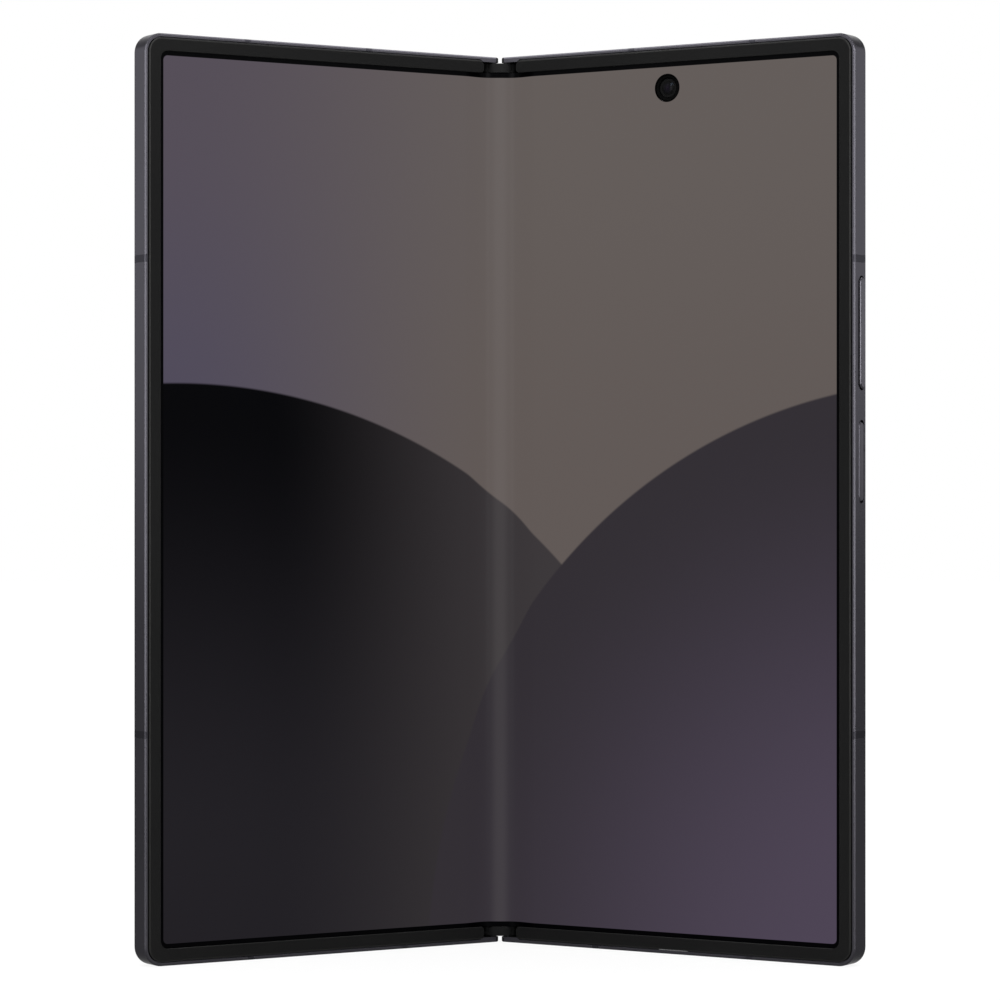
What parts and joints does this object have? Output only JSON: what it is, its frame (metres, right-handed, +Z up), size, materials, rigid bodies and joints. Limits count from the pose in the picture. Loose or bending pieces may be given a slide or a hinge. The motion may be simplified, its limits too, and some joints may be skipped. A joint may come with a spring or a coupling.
{
  "type": "foldable smartphone",
  "caption": "Book-style foldable smartphone, half open: two slim framed halves on a geared hinge with a flexible inner screen, edge keys, card tray, cover glass and rear camera island.",
  "frame": {"origin": "on the ground, under the middle of the bounding box of the half-open phone", "axes": "+Z up along the hinge, the inner screen faces -Y, +X towards the half with the keys"},
  "size_m": [0.1244, 0.041, 0.1584],
  "materials": {
    "frame_metal": "graphite anodised, fine bead blast",
    "break_plastic": "satin",
    "bezel_plastic": "satin",
    "screen": null,
    "steel": "satin",
    "gear_steel": "fine sintered",
    "back_glass": "etched glass",
    "front_glass": "polished glass over a dark panel",
    "lens_glass": "coated glass",
    "camera_black": "satin",
    "flash_plastic": "clear over yellow",
    "battery_foil": "foil",
    "board": "solder mask",
    "can_metal": "tinned",
    "copper": "enamelled winding",
    "flex_film": "film",
    "motor_metal": "satin"
  },
  "bodies": {
    "spine": {"spine_cover": "frame_metal", "spine_frame": "steel", "end_caps": "frame_metal", "idler_pins": "steel", "friction_washers": "steel", "fold_strip": "screen", "fold_lattice": "steel", "hinge_flex": "flex_film"},
    "left_half": {"left_frame": "frame_metal", "left_breaks": "break_plastic", "left_bezel": "bezel_plastic", "left_display": "screen", "left_plate": "steel", "left_brackets": "steel", "left_shafts": "steel", "left_gears": "gear_steel", "left_screws": "steel", "cover_glass": "front_glass", "cover_display": "front_glass", "cover_camera": "camera_black", "earpiece": "camera_black", "left_battery": "battery_foil", "left_board": "board", "sim_cage": "can_metal", "left_board_screws": "steel", "left_magnets": "steel"},
    "right_half": {"right_frame": "frame_metal", "right_breaks": "break_plastic", "right_bezel": "bezel_plastic", "right_display": "screen", "right_plate": "steel", "right_brackets": "steel", "right_shafts": "steel", "right_gears": "gear_steel", "right_screws": "steel", "rear_glass": "back_glass", "camera_island": "frame_metal", "lens_rings": "frame_metal", "lens_windows": "lens_glass", "camera_modules": "camera_black", "flash_window": "flash_plastic", "inner_camera": "camera_black", "inner_window": "lens_glass", "right_battery": "battery_foil", "main_board": "board", "shield_cans": "can_metal", "charging_coil": "copper", "usb_port": "can_metal", "speakers": "camera_black", "vibration_motor": "motor_metal", "key_switches": "flex_film", "right_board_screws": "steel", "right_magnets": "steel"},
    "left_idler": {"left_idlers": "gear_steel"},
    "right_idler": {"right_idlers": "gear_steel"},
    "volume_key": {"volume_key": "frame_metal"},
    "side_key": {"side_key": "frame_metal"},
    "sim_tray": {"sim_tray": "frame_metal"}
  },
  "joints": [
    {"name": "left_hinge", "type": "hinge", "parent": "spine", "child": "left_half", "pos_m": [-0.002, 0.01771, 0.0792], "axis": [0, 0, 1], "range_deg": [-32, 58], "deforming": ["fold_strip", "fold_lattice", "hinge_flex"]},
    {"name": "right_hinge", "type": "hinge", "parent": "spine", "child": "right_half", "pos_m": [0.002, 0.01771, 0.0792], "axis": [0, 0, 1], "range_deg": [-58, 32]},
    {"name": "left_idler_spin", "type": "hinge", "parent": "spine", "child": "left_idler", "pos_m": [-0.00056, 0.01771, 0.0792], "axis": [0, 0, 1], "range_deg": [-90.3, 49.9]},
    {"name": "right_idler_spin", "type": "hinge", "parent": "spine", "child": "right_idler", "pos_m": [0.00056, 0.01771, 0.0792], "axis": [0, 0, 1], "range_deg": [-49.9, 90.3]},
    {"name": "volume_rock", "type": "hinge", "parent": "right_half", "child": "volume_key", "pos_m": [0.0593, -0.01721, 0.1075], "axis": [0.5299, 0.848, 0], "range_deg": [-1, 1], "stiffness_Nm_per_rad": 0.05},
    {"name": "side_press", "type": "slide", "parent": "right_half", "child": "side_key", "axis": [-0.848, 0.5299, 0], "range_m": [0, 0.0002], "stiffness_N_per_m": 400, "springref_m": -0.001},
    {"name": "tray_slide", "type": "slide", "parent": "left_half", "child": "sim_tray", "axis": [0, 0, 1], "range_m": [0, 0.022]}
  ],
  "couplings": [
    {"joint": "right_hinge", "follows": "left_hinge", "ratio": -1},
    {"joint": "left_idler_spin", "follows": "left_hinge", "ratio": -1.5556},
    {"joint": "right_idler_spin", "follows": "left_hinge", "ratio": 1.5556}
  ]
}
